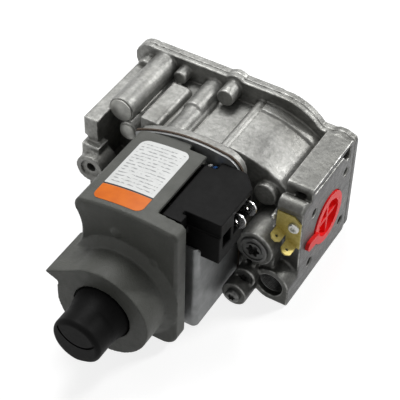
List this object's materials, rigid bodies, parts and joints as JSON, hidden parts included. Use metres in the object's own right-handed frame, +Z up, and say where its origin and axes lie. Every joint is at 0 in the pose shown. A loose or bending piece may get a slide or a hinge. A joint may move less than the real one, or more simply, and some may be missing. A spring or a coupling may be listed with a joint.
{
  "type": "furnace gas valve",
  "caption": "Solenoid-operated diaphragm gas valve with threaded pipe ports, a plastic control head with a turn knob, and a plug in the outlet.",
  "frame": {"origin": "centre of the inlet port on the inlet face", "axes": "+X from the inlet face to the outlet face, -Y towards the knob, +Z up, away from the flat base"},
  "size_m": [0.1334, 0.171, 0.0836],
  "materials": {
    "cast_aluminium": "as cast, satin",
    "cover_aluminium": "as cast, satin",
    "plug_aluminium": "bright satin",
    "cap_aluminium": "turned",
    "zinc_steel": "zinc plated",
    "plate_steel": "zinc plated",
    "frame_steel": "zinc plated",
    "spring_steel": "bright",
    "screen_steel": "woven look",
    "plunger_steel": "turned",
    "stem_brass": "turned",
    "terminal_brass": "bright",
    "terminal_tin": "tin plated",
    "diaphragm_rubber": "matte",
    "seal_rubber": "matte",
    "gasket_fibre": "pressed fibre sheet",
    "red_plastic": "satin",
    "white_plastic": "satin",
    "knob_plastic": "fine grain",
    "cock_plastic": "satin",
    "cover_plastic": "fine grain",
    "block_plastic": "satin",
    "bobbin_plastic": "satin",
    "winding_copper": "enamelled copper wire, taped",
    "label_paper": "blank printed sticker",
    "lead_white": "insulation",
    "lead_blue": "insulation"
  },
  "bodies": {
    "valve": {"back_cover": "cover_aluminium", "back_cover_screws": "zinc_steel", "bobbin_1": "bobbin_plastic", "bobbin_2": "bobbin_plastic", "body_plugs": "plug_aluminium", "coil_lead_blue": "lead_blue", "coil_lead_white": "lead_white", "cover_label": "label_paper", "detent_clip": "spring_steel", "foot_screw": "zinc_steel", "ground_bracket": "terminal_brass", "ground_screw": "zinc_steel", "guide_tube_1": "stem_brass", "guide_tube_2": "stem_brass", "head_cover": "cover_plastic", "head_gasket": "gasket_fibre", "inlet_screen": "screen_steel", "main_diaphragm": "diaphragm_rubber", "main_valve_spring": "spring_steel", "mounting_plate": "plate_steel", "mounting_screws": "zinc_steel", "plunger_spring_1": "spring_steel", "plunger_spring_2": "spring_steel", "quick_terminals": "terminal_tin", "regulator_spring": "spring_steel", "shaft_seal": "seal_rubber", "solenoid_frame": "frame_steel", "terminal_block": "block_plastic", "trim_screw": "zinc_steel", "valve_body": "cast_aluminium", "winding_1": "winding_copper", "winding_2": "winding_copper"},
    "knob_set": {"knob": "knob_plastic", "knob_shaft": "stem_brass", "gas_cock": "cock_plastic"},
    "main_valve": {"diaphragm_plate": "plate_steel", "main_valve_stem": "stem_brass", "main_valve_disc": "seal_rubber"},
    "plunger_set_1": {"plunger_1": "plunger_steel", "plunger_seal_1": "seal_rubber"},
    "plunger_set_2": {"plunger_2": "plunger_steel", "plunger_seal_2": "seal_rubber"},
    "cap_set": {"regulator_cap": "cap_aluminium"},
    "adjuster_set": {"regulator_adjuster": "white_plastic"},
    "cup_set": {"regulator_cup": "cap_aluminium"},
    "plug_set": {"outlet_plug": "red_plastic"}
  },
  "joints": [
    {"name": "knob_turn", "type": "hinge", "parent": "valve", "child": "knob_set", "pos_m": [0.0635, -0.06, 0], "axis": [0, -1, 0], "range_deg": [0, 90]},
    {"name": "main_valve_lift", "type": "slide", "parent": "valve", "child": "main_valve", "axis": [0, 1, 0], "range_m": [0, 0.0025], "stiffness_N_per_m": 60, "springref_m": -0.004, "deforming": ["main_valve_spring", "main_diaphragm"]},
    {"name": "plunger_1_lift", "type": "slide", "parent": "valve", "child": "plunger_set_1", "axis": [0, -1, 0], "range_m": [0, 0.0024], "stiffness_N_per_m": 80, "springref_m": -0.004, "deforming": ["plunger_spring_1"]},
    {"name": "plunger_2_lift", "type": "slide", "parent": "valve", "child": "plunger_set_2", "axis": [0, -1, 0], "range_m": [0, 0.0024], "stiffness_N_per_m": 80, "springref_m": -0.004, "deforming": ["plunger_spring_2"]},
    {"name": "regulator_cap_turn", "type": "hinge", "parent": "valve", "child": "cap_set", "pos_m": [0.1066, -0.042, 0.0022], "axis": [0, -1, 0], "range_deg": [0, 360]},
    {"name": "regulator_adjuster_turn", "type": "hinge", "parent": "valve", "child": "adjuster_set", "pos_m": [0.1066, -0.036, 0.0022], "axis": [0, -1, 0], "range_deg": [-180, 180]},
    {"name": "regulator_cup_slide", "type": "slide", "parent": "valve", "child": "cup_set", "axis": [0, -1, 0], "range_m": [0, 0.0015], "stiffness_N_per_m": 100, "springref_m": -0.003, "deforming": ["regulator_spring"]},
    {"name": "outlet_plug_pull", "type": "slide", "parent": "valve", "child": "plug_set", "axis": [1, 0, 0], "range_m": [0, 0.03]}
  ]
}
